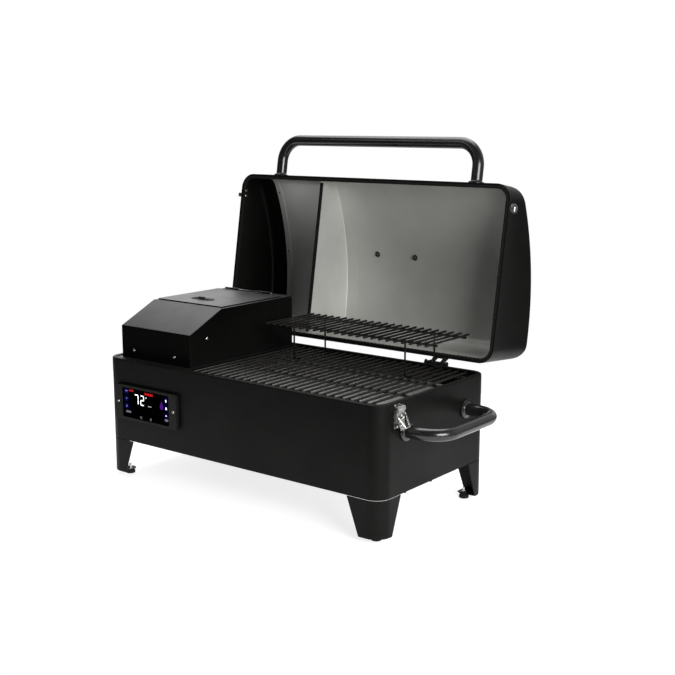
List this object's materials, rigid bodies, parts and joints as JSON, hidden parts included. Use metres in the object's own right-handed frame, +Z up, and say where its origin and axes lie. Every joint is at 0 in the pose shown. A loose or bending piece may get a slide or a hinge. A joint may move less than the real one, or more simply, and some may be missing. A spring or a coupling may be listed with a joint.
{
  "type": "pellet smoker grill",
  "caption": "Portable pellet smoker grill: black steel tub on short legs with hinged lid, pellet hopper, touch controller, rod grates and carry handles.",
  "frame": {"origin": "on the floor under the middle of the whole grill as it stands with its lid open", "axes": "+X to the grill's right as seen from the control panel, +Y to the back, +Z up"},
  "size_m": [0.9454, 0.5787, 0.7573],
  "materials": {
    "black_powder_coat": "satin black powder coat, lightly textured",
    "handle_satin_black": "smooth satin black paint on tube",
    "grate_black_enamel": "semi-gloss black porcelain enamel on wire",
    "galvanised_liner": "matt galvanised sheet",
    "stainless_steel": "bright stainless steel",
    "motor_casing": "grey painted gear motor",
    "black_plastic": "fine matt moulding",
    "display_gloss": "gloss black glass front with lit indicators",
    "black_rubber": "matt black rubber",
    "woven_gasket": "black woven glass-fibre rope",
    "circuit_board": "green solder mask"
  },
  "bodies": {
    "tub": {"body_shell": "black_powder_coat", "divider_wall": "black_powder_coat", "leg_front_left": "black_powder_coat", "leg_front_right": "black_powder_coat", "leg_rear_left": "black_powder_coat", "leg_rear_right": "black_powder_coat", "hopper_housing": "black_powder_coat", "air_box": "black_powder_coat", "drawer_rails": "black_powder_coat", "hinge_base_left": "black_powder_coat", "hinge_base_right": "black_powder_coat", "hinge_pin_left": "black_powder_coat", "hinge_pin_right": "black_powder_coat", "handle_left": "handle_satin_black", "handle_right": "handle_satin_black", "hopper_bin": "galvanised_liner", "drip_tray": "galvanised_liner", "heat_diffuser": "galvanised_liner", "grate_ledge": "galvanised_liner", "latch_base_left": "stainless_steel", "latch_base_right": "stainless_steel", "hopper_hinge_pin": "stainless_steel", "hopper_guard": "stainless_steel", "auger_tube": "stainless_steel", "burn_pot": "stainless_steel", "igniter_rod": "stainless_steel", "temp_probe": "stainless_steel", "auger_motor": "motor_casing", "control_bezel": "black_plastic", "fan_housing": "black_plastic", "power_inlet": "black_plastic", "display_glass": "display_gloss", "foot_front_left": "black_rubber", "foot_front_right": "black_rubber", "foot_rear_left": "black_rubber", "foot_rear_right": "black_rubber", "control_board": "circuit_board"},
    "lid": {"lid_shell": "black_powder_coat", "lid_liner": "galvanised_liner", "lid_partition": "galvanised_liner", "lid_gasket": "woven_gasket", "lid_handle": "handle_satin_black", "badge_plate": "stainless_steel", "hinge_leaf_left": "black_powder_coat", "hinge_leaf_right": "black_powder_coat", "latch_keeper_left": "stainless_steel", "latch_keeper_right": "stainless_steel"},
    "hopper_flap": {"hopper_lid": "black_powder_coat", "hopper_lid_pull": "black_plastic"},
    "auger": {"auger_screw": "stainless_steel"},
    "fan": {"fan_impeller": "black_plastic"},
    "drawer": {"grease_drawer": "stainless_steel"},
    "grate": {"main_grate": "grate_black_enamel"},
    "rack": {"warming_rack": "grate_black_enamel"},
    "rocker": {"power_switch": "black_plastic"},
    "lever_left": {"latch_lever_left": "stainless_steel"},
    "lever_right": {"latch_lever_right": "stainless_steel"},
    "bail_left": {"latch_bail_left": "stainless_steel"},
    "bail_right": {"latch_bail_right": "stainless_steel"}
  },
  "joints": [
    {"name": "lid_hinge", "type": "hinge", "parent": "tub", "child": "lid", "pos_m": [0, 0.1151, 0.2725], "axis": [1, 0, 0], "range_deg": [0, 99.4]},
    {"name": "hopper_lid_hinge", "type": "hinge", "parent": "tub", "child": "hopper_flap", "pos_m": [-0.25, 0.0606, 0.3923], "axis": [1, 0, 0], "range_deg": [-95, 0]},
    {"name": "auger_spin", "type": "hinge", "parent": "tub", "child": "auger", "pos_m": [-0.2, -0.0894, 0.158], "axis": [1, 0, 0], "continuous": true},
    {"name": "fan_spin", "type": "hinge", "parent": "tub", "child": "fan", "pos_m": [-0.15, -0.0184, 0.138], "axis": [1, 0, 0], "continuous": true},
    {"name": "drawer_slide", "type": "slide", "parent": "tub", "child": "drawer", "axis": [0, -1, 0], "range_m": [-0.085, 0]},
    {"name": "grate_lift", "type": "slide", "parent": "tub", "child": "grate", "axis": [0, 0, -1], "range_m": [-0.1, 0]},
    {"name": "rack_lift", "type": "slide", "parent": "grate", "child": "rack", "axis": [0, 0, -1], "range_m": [-0.05, 0]},
    {"name": "switch_rock", "type": "hinge", "parent": "tub", "child": "rocker", "pos_m": [-0.275, 0.1022, 0.139], "axis": [1, 0, 0], "range_deg": [-18, 0]},
    {"name": "lever_right_lift", "type": "hinge", "parent": "tub", "child": "lever_right", "pos_m": [0.389, -0.2284, 0.263], "axis": [0, 1, 0], "range_deg": [-150, 0]},
    {"name": "lever_left_lift", "type": "hinge", "parent": "tub", "child": "lever_left", "pos_m": [-0.389, -0.2284, 0.263], "axis": [0, -1, 0], "range_deg": [-150, 0]},
    {"name": "bail_right_swing", "type": "hinge", "parent": "lever_right", "child": "bail_right", "pos_m": [0.3875, -0.2284, 0.254], "axis": [0, -1, 0], "range_deg": [0, 115]},
    {"name": "bail_left_swing", "type": "hinge", "parent": "lever_left", "child": "bail_left", "pos_m": [-0.3875, -0.2284, 0.254], "axis": [0, 1, 0], "range_deg": [0, 115]}
  ]
}
